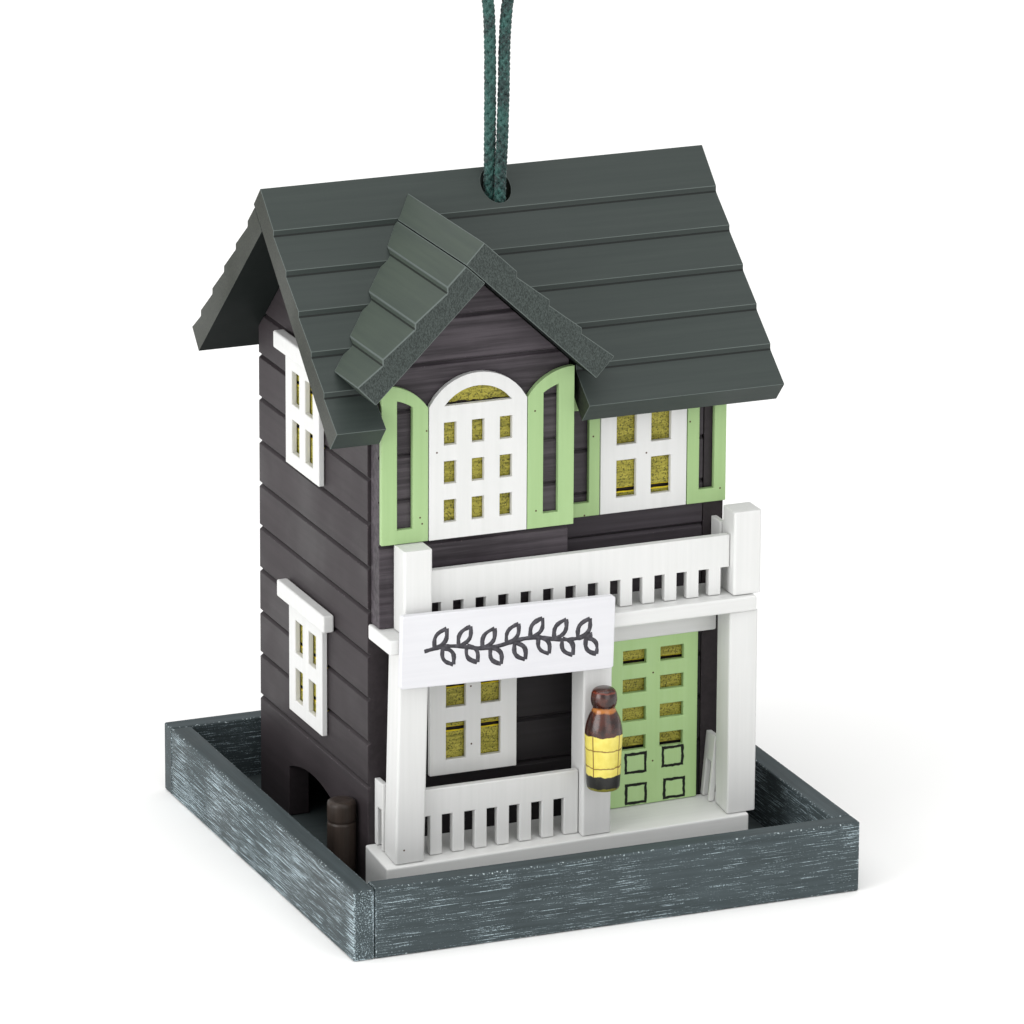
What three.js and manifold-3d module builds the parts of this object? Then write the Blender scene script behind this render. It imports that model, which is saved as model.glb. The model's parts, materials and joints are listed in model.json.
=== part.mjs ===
// A hanging wooden bird feeder in the shape of a two-storey house with a porch and a balcony.
// The hollow house is the seed hopper: it stands in a square tray, and arched holes at the foot
// of its side walls let the seed out. The roof is loose and slides up the hanging rope for filling.
// Millimetres, +Z up, +X right along the front, +Y back; the origin is the middle of the tray's underside.
import * as THREE from "three";
import { mergeVertices } from "three/addons/utils/BufferGeometryUtils.js";
import Module from "manifold-3d";

const wasm = await Module();
wasm.setup();

// ---- Driving dimensions -------------------------------------------------------------------

const GAP = 0.3; // between pieces that touch
const PLY = 2.2; // windows, shutters, door and small railings

// House
const HOUSE_WIDTH = 141;
const HOUSE_DEPTH = 112;
const WALL_THICKNESS = 8;
const WALL_HEIGHT = 184.2; // side and front walls, up to the eaves
const BOARD_PITCH = 16.85; // height of one false board between two grooves
const GROOVE_DEPTH = 1.3;
const GROOVE_HALF_HEIGHT = 1;
const SIDE_GROOVE_START = 38.3; // lowest groove above the walls' foot
const FRONT_GROOVE_START = 39.8;
const BAY_GROOVE_START = 31; // above the balcony
const OUTLET_WIDTH = 48; // seed outlet in each side wall
const OUTLET_JAMB = 19.5;
const OUTLET_RISE = 4.6;
const OUTLET_BACKWARD = 1.5; // how far it sits behind the middle of the wall

// Tray
const FLOOR_THICKNESS = 4;
const RIM_THICKNESS = 8;
const RIM_HEIGHT = 27;
const TROUGH_SIDE = 21.5; // between the house and the rim
const TROUGH_FRONT = 31.5;
const TROUGH_BACK = 18.5;

// Porch and balcony
const PORCH_DEPTH = 22;
const PORCH_BASE_HEIGHT = 15; // at the middle of its front edge
const PORCH_FALL = 6; // degrees that its top slopes down towards the front
const PORCH_ROLL = 1; // degrees that its top slopes down to the left
const PORCH_BASE_OVERRUN = [1.2, 2.5]; // past the left wall and past the right wall
const PORCH_HEADROOM = 80.5; // from its front edge up to the balcony
const BALCONY_THICKNESS = 5.7;
const BALCONY_OVERRUN = 4.5;
const BALCONY_POST_HEIGHT = 32;
const PORCH_POST = [11.4, 11.7]; // width and depth
const BALCONY_POST = [11, 11];
const POST_CHAMFER = 0.5;
const POST_SETBACK = 1.5; // behind the porch's front edge
const PORCH_POST_LEFT_INSET = 2.5; // its foot, from the house's left side
const PORCH_POST_RIGHT_OVERRUN = 5.7; // past the house's right side
const PORCH_POST_MIDDLE_X = 12.1;
const BALCONY_POST_LEFT_INSET = 6.5;
const BALCONY_POST_RIGHT_OVERRUN = 6.9;
const LEFT_POST_LEAN = 1.3; // degrees, to the right

// Railings
const RAILING_THICKNESS = 3;
const RAILING_SETBACK = 3.5; // behind the posts' front
const SLOT_PITCH = 8.85;
const SLOT_WIDTH = 4.1;
const PORCH_RAILING_HEIGHT = 25.5; // over the porch's front edge
const PORCH_RAILING_BAND = 10.4;
const PORCH_RAILING_END_SLOT = 2.7; // the cut slot beside the left post
const BALCONY_RAILING_HEIGHT = 22.6;
const BALCONY_RAILING_BAND = 12.3;
const LEFT_PANEL_HEIGHT = 26.6;
const RIGHT_PANEL_HEIGHT = 28.5;
const SIDE_PANEL_BAR = 2.6; // between the slot and the wall
const RIGHT_PANEL_LEAN = 5; // degrees
const BALCONY_PANEL_HEIGHT = 25.5;
const BALCONY_PANEL_PROUD = 0.8; // it stands out to the left of the post

// Bay
const BAY_WIDTH = 74;
const BAY_INSET = 1.2; // from the house's left side

// Roof
const ROOF_PITCH = 43; // degrees
const ROOF_THICKNESS = 10.3;
const ROOF_OVERHANG_LEFT = 19.3;
const ROOF_OVERHANG_RIGHT = 15.3;
const EAVE_OVERHANG_FRONT = 12.4;
const EAVE_OVERHANG_BACK = 12.4;
const RIDGE_OVERLAP = 11.8; // the front slab runs on over the back slab
const COURSE = 17.35; // one row of shingles
const COURSE_STEP = 1.6;
const FRONT_FIRST_COURSE = 6.5; // from the inner ridge line down to the first ledge
const BACK_FIRST_COURSE = 10.9;
const BAY_NOTCH_MARGIN_LEFT = 1.5;
const BAY_NOTCH_MARGIN_RIGHT = 3.6;
const DORMER_DROP = 4.6; // the dormer's inner ridge below the roof's
const DORMER_SHIFT = -1.5; // from the bay's middle
const DORMER_OVERHANG = 14.4; // in front of the bay
const DORMER_LEFT_OVERHANG = 5.3; // past the bay's left side
const DORMER_RIGHT_OVERHANG = 7.3;
const DORMER_LEFT_PITCH = 44.4; // degrees, a little steeper than the other slabs
const DORMER_RIDGE_OVERLAP = 10.6;
const BUTT_REACH = 60; // more than any slab is thick
const AMPLE = 150; // more than the porch is wide or high, for the tools that plane it

// Windows, shutters and door
const WINDOW_WIDTH = 34.4;
const WINDOW_HEIGHT = 46;
const SIDE_WINDOW_HEIGHT = 42.3;
const PANE_WIDTH = 7.8;
const PANE_HEIGHT = 14.2;
const SIDE_PANE_HEIGHT = 12.8;
const MULLION = 6;
const ARCHED_WIDTH = 38.2;
const ARCHED_SHIFT = 0.5; // from the bay's middle
const ARCHED_SPRING = 50.2; // from the sill up to where the arch starts
const ARCH_RISE = 11.5;
const ARCHED_PANE_WIDTH = 4.9;
const ARCHED_PANE_HEIGHT = 8.6;
const ARCHED_PANE_PITCH_X = 10.9;
const ARCHED_PANE_PITCH_Z = 14.6;
const ARCHED_BORDER = 5; // round the half-moon pane
const SHUTTER_WIDTH = 17.2;
const BAY_SHUTTER_WIDTH = 18.2;
const UPPER_LEFT_SHUTTER_WIDTH = 14.6; // the narrower one, next to the bay
const UPPER_RIGHT_SHUTTER_WIDTH = 15.6;
const SHUTTER_SLOT = 6;
const SHUTTER_RAIL = 5.3; // below a slot
const PORCH_WINDOW_X = -29.8;
const PORCH_WINDOW_SILL = 24.9; // above the porch's front edge
const UPPER_WINDOW_INSET = 33.2; // the upper window's middle, from the right wall's outer face
const UPPER_WINDOW_DROP = 0.8; // below the arched window's sill
const SIDE_WINDOW_BACK = [1.4, 4]; // lower and upper, behind the middle of the side wall
const SIDE_WINDOW_SILLS = [45.1, 141.2]; // above the walls' foot
const LINTEL_WIDTH = 48.6;
const LINTEL_HEIGHT = 6.6;
const LINTEL_THICKNESS = 4.4;
const DOOR_WIDTH = 36;
const DOOR_HEIGHT = 68.5; // over the porch's front edge
const DOOR_INSET = 28.4; // the door's middle, from the right wall's outer face
const DOOR_PANE = [9.3, 5.4];
const DOOR_PANE_PITCH = [15.1, 11.2];
const DOOR_PANE_ROWS = 4;
const DOOR_TOP_RAIL = 4.6;

// Sign, lantern and barrel
const SIGN_WIDTH = 83.8;
const SIGN_HEIGHT = 27.8;
const SIGN_THICKNESS = 3;
const SIGN_TILT = -1.3; // degrees
const SIGN_INSET = 3.2; // its left end, from the house's left side
const SIGN_DROP = 5; // its middle below the balcony's top
const LANTERN_RADIUS = 7;
const LANTERN_HEIGHT = 38.5;
const LANTERN_FOOT = 21.7; // above the porch's front edge
const LANTERN_SHIFT = -0.7; // from the middle of its post
const BARREL_RADIUS = 5.4;
const BARREL_HEIGHT = 30;
const BARREL_BEHIND_FRONT = 12; // the barrel's axis, behind the wall's front edge

// Rope
const ROPE_RADIUS = 2.4;
const ROPE_HOLE_RADIUS = 5.7;
const ROPE_HOLE_X = 0.2;
const ROPE_HOLE_BEFORE_RIDGE = 4.5;
const ROPE_BAR = [16, 12]; // depth and height of the bar that it is tied to
const ROPE_BAR_BELOW_RIDGE = 30; // the bar's middle, below the inner ridge line
const ROPE_STEP = 11; // along the rope, between two rings of its tube
const KNOT_RADIUS = 5.2;

// ---- What follows from them ----------------------------------------------------------------

const radians = THREE.MathUtils.degToRad;
const houseLeft = -HOUSE_WIDTH / 2;
const houseRight = HOUSE_WIDTH / 2;
const trayWidth = HOUSE_WIDTH + 2 * (TROUGH_SIDE + RIM_THICKNESS);
const trayDepth = HOUSE_DEPTH + PORCH_DEPTH + TROUGH_FRONT + TROUGH_BACK + 2 * RIM_THICKNESS;
const trayFront = -trayDepth / 2;
const houseFront = trayFront + RIM_THICKNESS + TROUGH_FRONT + PORCH_DEPTH;
const houseBack = houseFront + HOUSE_DEPTH;
const houseMiddle = (houseFront + houseBack) / 2;
const porchFront = houseFront - PORCH_DEPTH;
const wallFoot = FLOOR_THICKNESS + GAP;
const wallTop = wallFoot + WALL_HEIGHT;
const porchTop = wallFoot + PORCH_BASE_HEIGHT;
const balconyUnderside = porchTop + PORCH_HEADROOM;
const balconyTop = balconyUnderside + BALCONY_THICKNESS;
const pitch = radians(ROOF_PITCH);
const slope = Math.tan(pitch);
const leftPitch = radians(DORMER_LEFT_PITCH);
const clearance = GAP / Math.cos(pitch); // upright distance under a slab that rests on a piece
const ridgeZ = wallTop + clearance + (HOUSE_DEPTH / 2) * slope;
const bayLeft = houseLeft + BAY_INSET;
const bayMiddle = bayLeft + BAY_WIDTH / 2;
const dormerX = bayMiddle + DORMER_SHIFT;
const dormerZ = ridgeZ - DORMER_DROP;
const postFront = porchFront + POST_SETBACK;
const postBack = postFront + PORCH_POST[1];
const porchPostLeftX = houseLeft + PORCH_POST_LEFT_INSET + PORCH_POST[0] / 2;
const porchPostRightX = houseRight + PORCH_POST_RIGHT_OVERRUN - PORCH_POST[0] / 2;
const balconyPostLeftX = houseLeft + BALCONY_POST_LEFT_INSET + BALCONY_POST[0] / 2;
const balconyPostRightX = houseRight + BALCONY_POST_RIGHT_OVERRUN - BALCONY_POST[0] / 2;
const balconyPostFront = postBack - BALCONY_POST[1];
const bayFront = postBack + GAP; // all posts stand right before the bay's line
const upperSill = balconyTop + BALCONY_POST_HEIGHT + 2 * GAP; // just above the balcony posts

// ---- Materials -----------------------------------------------------------------------------

function finish(color, roughness) {
  return new THREE.MeshStandardMaterial({ color, roughness, metalness: 0 });
}

const roofPaint = finish("#4f5553", 0.6);
const dormerPaint = finish("#57605a", 0.65);
const wallStain = finish("#544c50", 0.75);
const whitePaint = finish("#ececec", 0.5);
const paleGreenPaint = finish("#b3ca98", 0.55);
const greenPaint = finish("#a4c089", 0.55);
const doorPaint = finish("#9bb67e", 0.55);
const trayPaint = finish("#565e60", 0.65);
const bareWood = finish("#b99a6c", 0.8);
const darkWood = finish("#332b28", 0.45);
const lanternPaint = finish("#4a2c26", 0.3);
const ropeFibre = finish("#2c403e", 0.85);

// ---- Shapes --------------------------------------------------------------------------------

// A shape drawn by a list of corners, in either direction.
function outline(corners) {
  const points = corners.map(([x, y]) => new THREE.Vector2(x, y));
  return new THREE.Shape(THREE.ShapeUtils.isClockWise(points) ? points.reverse() : points);
}

// Corners along the upper part of a circle, from one x to another; the middle's x is 0.
function arc(from, to, radius, middle, steps = 12) {
  return Array.from({ length: steps + 1 }, (_, i) => {
    const x = from + ((to - from) * i) / steps;
    return [x, middle + Math.sqrt(radius * radius - x * x)];
  });
}

// The radius of an arch from its half width and its rise.
function archRadius(half, rise) {
  return (half * half + rise * rise) / (2 * rise);
}

function rectangle(left, bottom, width, height) {
  return outline([
    [left, bottom],
    [left + width, bottom],
    [left + width, bottom + height],
    [left, bottom + height],
  ]);
}

function chamferedRectangle(width, height, chamfer) {
  const [x, y] = [width / 2, height / 2];
  return outline([
    [-x + chamfer, -y],
    [x - chamfer, -y],
    [x, -y + chamfer],
    [x, y - chamfer],
    [x - chamfer, y],
    [-x + chamfer, y],
    [-x, y - chamfer],
    [-x, -y + chamfer],
  ]);
}

// A flat board of a shape, with the shape's holes sawn right through it.
function extrude(shape, depth) {
  const board = (points, thickness) =>
    new THREE.ExtrudeGeometry(new THREE.Shape(points), { depth: thickness, bevelEnabled: false });
  const saws = shape.holes.map((hole) => board(hole.getPoints(), depth + 2).translate(0, 0, -1));
  const whole = board(shape.getPoints(), depth);
  return saws.length > 0 ? cut(whole, saws) : whole;
}

// A board that faces front: drawn in X and Z, its back at y and its face `thickness` before it.
function facingFront(shape, y, thickness) {
  return extrude(shape, thickness).rotateX(Math.PI / 2).translate(0, y, 0);
}

// A board that faces sideways: drawn in Y and Z, from one x to another.
function facingSide(shape, from, to) {
  const [x, y, z] = [new THREE.Vector3(1, 0, 0), new THREE.Vector3(0, 1, 0), new THREE.Vector3(0, 0, 1)];
  const turn = new THREE.Matrix4().makeBasis(y, z, x);
  return extrude(shape, Math.abs(to - from)).applyMatrix4(turn).translate(Math.min(from, to), 0, 0);
}

function box(low, high) {
  const size = high.map((value, i) => value - low[i]);
  const middle = high.map((value, i) => (value + low[i]) / 2);
  return new THREE.BoxGeometry(...size).translate(...middle);
}

// ---- Cutting and joining -------------------------------------------------------------------

function solid(geometry) {
  const bare = geometry.clone();
  bare.deleteAttribute("normal");
  bare.deleteAttribute("uv");
  const merged = mergeVertices(bare, 1e-4);
  const vertProperties = new Float32Array(merged.attributes.position.array);
  const triVerts = new Uint32Array(merged.index.array);
  return new wasm.Manifold(new wasm.Mesh({ numProp: 3, vertProperties, triVerts }));
}

// The geometry without what each tool covers.
function cut(geometry, tools) {
  const rest = tools.reduce((left, tool) => left.subtract(solid(tool)), solid(geometry));
  const mesh = rest.getMesh();
  const result = new THREE.BufferGeometry();
  result.setAttribute("position", new THREE.BufferAttribute(new Float32Array(mesh.vertProperties), 3));
  result.setIndex(new THREE.BufferAttribute(new Uint32Array(mesh.triVerts), 1));
  result.computeVertexNormals();
  return result;
}

const feeder = new THREE.Group();
const roof = new THREE.Group();
feeder.add(roof);

function piece(name, geometry, material, parent = feeder) {
  const mesh = new THREE.Mesh(geometry, material);
  mesh.name = name;
  parent.add(mesh);
  return mesh;
}

// ---- Tray: a ply floor nailed between four equal boards, each butting against the next ------

function makeTray() {
  const [x, y] = [trayWidth / 2, trayDepth / 2];
  const t = RIM_THICKNESS;
  const boards = {
    tray_board_front: [[-x + t + GAP, -y, 0], [x, -y + t, RIM_HEIGHT]],
    tray_board_right: [[x - t, -y + t + GAP, 0], [x, y, RIM_HEIGHT]],
    tray_board_back: [[-x, y - t, 0], [x - t - GAP, y, RIM_HEIGHT]],
    tray_board_left: [[-x, -y, 0], [-x + t, y - t - GAP, RIM_HEIGHT]],
  };
  for (const [name, [low, high]] of Object.entries(boards)) piece(name, box(low, high), trayPaint);
  const [floorX, floorY] = [x - t - GAP, y - t - GAP];
  piece("tray_floor", box([-floorX, -floorY, 0], [floorX, floorY, FLOOR_THICKNESS]), trayPaint);
}

// ---- Walls: grooved to look like boards; the side walls cover the ends of front and back ----

// Heights of the grooves between a lower and an upper limit.
function grooveHeights(first, limit) {
  const heights = [];
  for (let z = first; z < limit; z += BOARD_PITCH) heights.push(z);
  return heights;
}

// A V groove as a tool: a lozenge bar along X or Y whose middle lies on the board's face.
function groove(along, from, to, face, z) {
  const lozenge = outline([
    [-GROOVE_DEPTH, 0],
    [0, -GROOVE_HALF_HEIGHT],
    [GROOVE_DEPTH, 0],
    [0, GROOVE_HALF_HEIGHT],
  ]);
  if (along === "x") return facingSide(lozenge, from, to).translate(0, face, z);
  return facingFront(lozenge, to, to - from).translate(face, 0, z);
}

// Height of the roof's underside over a y, less the clearance that a wall keeps to it.
function underRoof(y) {
  return ridgeZ - Math.abs(y - houseMiddle) * slope - clearance;
}

// The arched seed outlet as a shape in Y and Z, starting below the wall's foot.
function outletShape() {
  const middle = houseMiddle + OUTLET_BACKWARD;
  const half = OUTLET_WIDTH / 2;
  const radius = archRadius(half, OUTLET_RISE);
  const top = wallFoot + OUTLET_JAMB + OUTLET_RISE;
  const corners = [[-half, wallFoot - 1], [half, wallFoot - 1], ...arc(half, -half, radius, top - radius)];
  return outline(corners.map(([y, z]) => [middle + y, z]));
}

function makeSideWall(name, outer, inner) {
  const gable = outline([
    [houseFront, wallFoot],
    [houseBack, wallFoot],
    [houseBack, underRoof(houseBack)],
    [houseMiddle, underRoof(houseMiddle)],
    [houseFront, underRoof(houseFront)],
  ]);
  const tools = [facingSide(outletShape(), outer + Math.sign(outer), inner - Math.sign(outer))];
  for (const z of grooveHeights(wallFoot + SIDE_GROOVE_START, ridgeZ - BOARD_PITCH / 2))
    tools.push(groove("y", houseFront - 1, houseBack + 1, outer, z));
  piece(name, cut(facingSide(gable, outer, inner), tools), wallStain);
}

function makeEndWall(name, outer, inner) {
  const side = HOUSE_WIDTH / 2 - WALL_THICKNESS - GAP;
  const section = outline([
    [outer, wallFoot],
    [inner, wallFoot],
    [inner, underRoof(inner)],
    [outer, underRoof(outer)],
  ]);
  const tools = grooveHeights(wallFoot + FRONT_GROOVE_START, underRoof(outer) - GROOVE_HALF_HEIGHT).map((z) =>
    groove("x", -side - 1, side + 1, outer, z),
  );
  piece(name, cut(facingSide(section, -side, side), tools), wallStain);
}

function makeWalls() {
  makeSideWall("wall_left", houseLeft, houseLeft + WALL_THICKNESS);
  makeSideWall("wall_right", houseRight, houseRight - WALL_THICKNESS);
  makeEndWall("wall_front", houseFront, houseFront + WALL_THICKNESS);
  makeEndWall("wall_back", houseBack, houseBack - WALL_THICKNESS);
}

// ---- Bay: a grooved board on the upper front wall, with a gable under the dormer ------------

function makeBay() {
  const right = bayLeft + BAY_WIDTH;
  const fall = (x) => (x < dormerX ? (dormerX - x) * Math.tan(leftPitch) : (x - dormerX) * slope);
  const top = (x) => dormerZ - fall(x) - GAP / Math.cos(leftPitch);
  const foot = balconyTop + GAP;
  const face = outline([
    [bayLeft, foot],
    [right, foot],
    [right, top(right)],
    [dormerX, top(dormerX)],
    [bayLeft, top(bayLeft)],
  ]);
  const tools = grooveHeights(foot + BAY_GROOVE_START, dormerZ - BOARD_PITCH / 2).map((z) =>
    groove("x", bayLeft - 1, right + 1, bayFront, z),
  );
  piece("bay_front", cut(facingFront(face, houseFront - GAP, houseFront - GAP - bayFront), tools), wallStain);
}

// ---- Roof: two shingled slabs and a two-slab dormer, glued into one loose lid ---------------

// A slab's long section. s runs down the slope from the inner ridge line and n stands square on
// it; the underside is n = 0. Each course thickens towards its lower edge and ends in a ledge.
function slabSection(start, end, firstLedge, raise = 0) {
  const full = ROOF_THICKNESS + raise;
  const thin = full - COURSE_STEP;
  const points = [
    [start, 0],
    [end, 0],
    [end, full],
  ];
  const ledges = [];
  for (let s = firstLedge; s < end - COURSE / 3; s += COURSE) ledges.unshift(s);
  for (const s of ledges) {
    points.push([s + COURSE_STEP * slope, thin]);
    points.push([s, full]);
  }
  points.push([start, full]);
  return points;
}

// The section as a shape in (across, Z), running down to the side given by `way`.
function onSlope(points, ridge, ridgeHeight, way, angle = pitch) {
  const [c, s] = [Math.cos(angle), Math.sin(angle)];
  return outline(
    points.map(([down, up]) => [ridge + way * (down * c + up * s), ridgeHeight - down * s + up * c]),
  );
}

// What a slab covers from its underside outwards, so that its neighbour can butt under it.
function overSlab() {
  return [[-BUTT_REACH, -GAP], [BUTT_REACH, -GAP], [BUTT_REACH, BUTT_REACH], [-BUTT_REACH, BUTT_REACH]];
}

function makeMainRoof() {
  const left = houseLeft - ROOF_OVERHANG_LEFT;
  const right = houseRight + ROOF_OVERHANG_RIGHT;
  const frontEnd = (HOUSE_DEPTH / 2 + EAVE_OVERHANG_FRONT) / Math.cos(pitch);
  const backEnd = (HOUSE_DEPTH / 2 + EAVE_OVERHANG_BACK) / Math.cos(pitch);
  const hole = new THREE.CylinderGeometry(ROPE_HOLE_RADIUS, ROPE_HOLE_RADIUS, 60, 32)
    .rotateX(Math.PI / 2)
    .translate(ROPE_HOLE_X, houseMiddle - ROPE_HOLE_BEFORE_RIDGE, ridgeZ);
  const notchLeft = bayLeft - BAY_NOTCH_MARGIN_LEFT;
  const notchRight = bayLeft + BAY_WIDTH + BAY_NOTCH_MARGIN_RIGHT;
  const notchBack = houseFront + GAP;
  const notch = box([notchLeft, houseFront - 60, wallTop - 60], [notchRight, notchBack, ridgeZ + 60]);

  const frontSection = slabSection(-RIDGE_OVERLAP, frontEnd, FRONT_FIRST_COURSE);
  const frontSlab = facingSide(onSlope(frontSection, houseMiddle, ridgeZ, -1), left, right);
  piece("roof_front", cut(frontSlab, [hole, notch]), roofPaint, roof);

  const backSection = slabSection(-ROOF_THICKNESS, backEnd, BACK_FIRST_COURSE);
  const backSlab = facingSide(onSlope(backSection, houseMiddle, ridgeZ, 1), left, right);
  const underFront = facingSide(onSlope(overSlab(), houseMiddle, ridgeZ, -1), left - 1, right + 1);
  piece("roof_back", cut(backSlab, [hole, underFront]), roofPaint, roof);

  // What the dormer is scribed to: the front slab's stepped top and everything under it.
  const scribed = slabSection(-RIDGE_OVERLAP - 20, frontEnd + 20, FRONT_FIRST_COURSE, GAP);
  scribed[0][1] = -80;
  scribed[1][1] = -80;
  const under = facingSide(onSlope(scribed, houseMiddle, ridgeZ, -1), left - 40, right + 40);
  return cut(under, [notch]);
}

function makeDormer(underDormer) {
  const front = bayFront - DORMER_OVERHANG;
  const depth = houseMiddle - front;
  const rightEnd = (BAY_WIDTH / 2 + DORMER_RIGHT_OVERHANG) / Math.cos(pitch) + DORMER_SHIFT;
  const leftEnd = (BAY_WIDTH / 2 + DORMER_LEFT_OVERHANG) / Math.cos(leftPitch);

  const rightSection = slabSection(-DORMER_RIDGE_OVERLAP, rightEnd, COURSE - DORMER_RIDGE_OVERLAP);
  const rightSlab = facingFront(onSlope(rightSection, dormerX, dormerZ, 1), houseMiddle, depth);
  piece("dormer_right", cut(rightSlab, [underDormer]), dormerPaint, roof);

  const leftSection = slabSection(-ROOF_THICKNESS, leftEnd, BACK_FIRST_COURSE);
  const leftShape = onSlope(leftSection, dormerX, dormerZ, -1, leftPitch);
  const leftSlab = facingFront(leftShape, houseMiddle, depth);
  const underRight = facingFront(onSlope(overSlab(), dormerX, dormerZ, 1), houseMiddle + 1, depth + 2);
  piece("dormer_left", cut(leftSlab, [underRight, underDormer]), dormerPaint, roof);
}

// ---- Porch and balcony ----------------------------------------------------------------------

// What lies between two heights over the porch's sloping top.
function overPorch(from, to) {
  return box([-AMPLE, -AMPLE, from], [AMPLE, AMPLE, to])
    .rotateX(radians(PORCH_FALL))
    .rotateY(-radians(PORCH_ROLL))
    .translate(0, porchFront, porchTop);
}

// A piece that stands on the porch, with its foot planed to the slope.
function standing(name, geometry, material) {
  return piece(name, cut(geometry, [overPorch(-AMPLE, GAP)]), material);
}

function postGeometry([width, depth], height) {
  return extrude(chamferedRectangle(width, depth, POST_CHAMFER), height);
}

function makePorchPost(name, x, leanDegrees = 0) {
  const lean = radians(leanDegrees);
  const height = balconyUnderside - GAP - wallFoot - PORCH_POST[0] * Math.sin(lean);
  const post = postGeometry(PORCH_POST, height).rotateY(lean);
  standing(name, post.translate(x, postBack - PORCH_POST[1] / 2, wallFoot), whitePaint);
}

function makeBalconyPost(name, x) {
  const post = piece(name, postGeometry(BALCONY_POST, BALCONY_POST_HEIGHT), whitePaint);
  post.position.set(x, postBack - BALCONY_POST[1] / 2, balconyTop + GAP);
}

// A comb railing: a band with bars down to its foot. `firstSlot` is where the first slot starts,
// measured from the left end; the slots stay inside the board.
function combShape(length, height, band, firstSlot) {
  const slotTop = height - band;
  const corners = [[0, height], [0, 0]];
  for (let left = firstSlot; left < length; left += SLOT_PITCH) {
    const [from, to] = [Math.max(left, 0), Math.min(left + SLOT_WIDTH, length)];
    if (to - from < 1) continue;
    if (from === 0) corners.pop();
    else corners.push([from, 0]);
    corners.push([from, slotTop], [to, slotTop]);
    if (to < length) corners.push([to, 0]);
  }
  if (corners[corners.length - 1][0] < length) corners.push([length, 0]);
  corners.push([length, height]);
  return outline(corners);
}

function makePorch() {
  const back = houseFront - GAP;
  const [overLeft, overRight] = PORCH_BASE_OVERRUN;
  const baseLow = [houseLeft - overLeft, porchFront, wallFoot];
  const baseHigh = [houseRight + overRight, back, porchTop + PORCH_DEPTH];
  piece("porch_base", cut(box(baseLow, baseHigh), [overPorch(0, AMPLE)]), whitePaint);
  const balconyLow = [houseLeft, porchFront, balconyUnderside];
  const balconyHigh = [houseRight + BALCONY_OVERRUN, back, balconyTop];
  piece("balcony_floor", box(balconyLow, balconyHigh), whitePaint);

  makePorchPost("porch_post_left", porchPostLeftX, LEFT_POST_LEAN);
  makePorchPost("porch_post_middle", PORCH_POST_MIDDLE_X);
  makePorchPost("porch_post_right", porchPostRightX);
  makeBalconyPost("balcony_post_left", balconyPostLeftX);
  makeBalconyPost("balcony_post_right", balconyPostRightX);
}

function makePorchRailings() {
  const foot = wallFoot;
  const tall = (height) => porchTop + height - foot;
  const sway = tall(PORCH_RAILING_HEIGHT) * Math.tan(radians(LEFT_POST_LEAN));
  const left = porchPostLeftX + PORCH_POST[0] / 2 + sway + GAP;
  const length = PORCH_POST_MIDDLE_X - PORCH_POST[0] / 2 - GAP - left;
  const endSlot = PORCH_RAILING_END_SLOT - SLOT_WIDTH;
  const comb = combShape(length, tall(PORCH_RAILING_HEIGHT), PORCH_RAILING_BAND, endSlot);
  const back = postFront + RAILING_SETBACK + RAILING_THICKNESS;
  const railing = facingFront(comb, back, RAILING_THICKNESS).translate(left, 0, foot);
  standing("porch_railing_front", railing, whitePaint);

  // Short side panels close the porch's ends between the wall and the posts.
  const panelFront = postBack + GAP;
  const panelLength = houseFront - GAP - panelFront;
  const slotAt = panelLength - SIDE_PANEL_BAR - SLOT_WIDTH;
  const sidePanel = (height) =>
    facingSide(combShape(panelLength, tall(height), PORCH_RAILING_BAND, slotAt), 0, PLY);
  const leftX = porchPostLeftX - PORCH_POST[0] / 2;
  const leftPanel = sidePanel(LEFT_PANEL_HEIGHT).translate(leftX, panelFront, foot);
  standing("porch_railing_left", leftPanel, whitePaint);
  const lean = radians(RIGHT_PANEL_LEAN);
  const rightX = porchPostRightX - PORCH_POST[0] / 2 - tall(RIGHT_PANEL_HEIGHT) * Math.sin(lean);
  const rightPanel = sidePanel(RIGHT_PANEL_HEIGHT).rotateY(lean).translate(rightX, panelFront, foot);
  standing("porch_railing_right", rightPanel, whitePaint);
}

function makeBalconyRailings() {
  const foot = balconyTop + GAP;
  const left = balconyPostLeftX + BALCONY_POST[0] / 2 + GAP;
  const length = balconyPostRightX - BALCONY_POST[0] / 2 - GAP - left;
  const comb = combShape(length, BALCONY_RAILING_HEIGHT, BALCONY_RAILING_BAND, GAP);
  const back = balconyPostFront + RAILING_SETBACK + RAILING_THICKNESS;
  const railing = facingFront(comb, 0, RAILING_THICKNESS);
  piece("balcony_railing_front", railing, whitePaint).position.set(left, back, foot);

  const panelFront = postBack + GAP;
  const panelLength = houseFront - GAP - panelFront;
  const shape = combShape(panelLength, BALCONY_PANEL_HEIGHT, BALCONY_RAILING_BAND, panelLength);
  const panel = piece("balcony_railing_right", facingSide(shape, 0, PLY), whitePaint);
  panel.position.set(balconyPostRightX - BALCONY_POST[0] / 2 - BALCONY_PANEL_PROUD, panelFront, foot);
}

// ---- Windows, shutters and door -------------------------------------------------------------

// A frame with two by two panes; the panes are open and show the painted wall behind.
function windowShape(height, paneHeight) {
  const shape = rectangle(-WINDOW_WIDTH / 2, 0, WINDOW_WIDTH, height);
  const border = (height - 2 * paneHeight - MULLION) / 2;
  for (const side of [-1, 1]) {
    const left = side < 0 ? -MULLION / 2 - PANE_WIDTH : MULLION / 2;
    for (const row of [0, 1]) {
      const bottom = border + row * (paneHeight + MULLION);
      shape.holes.push(rectangle(left, bottom, PANE_WIDTH, paneHeight));
    }
  }
  return shape;
}

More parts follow.
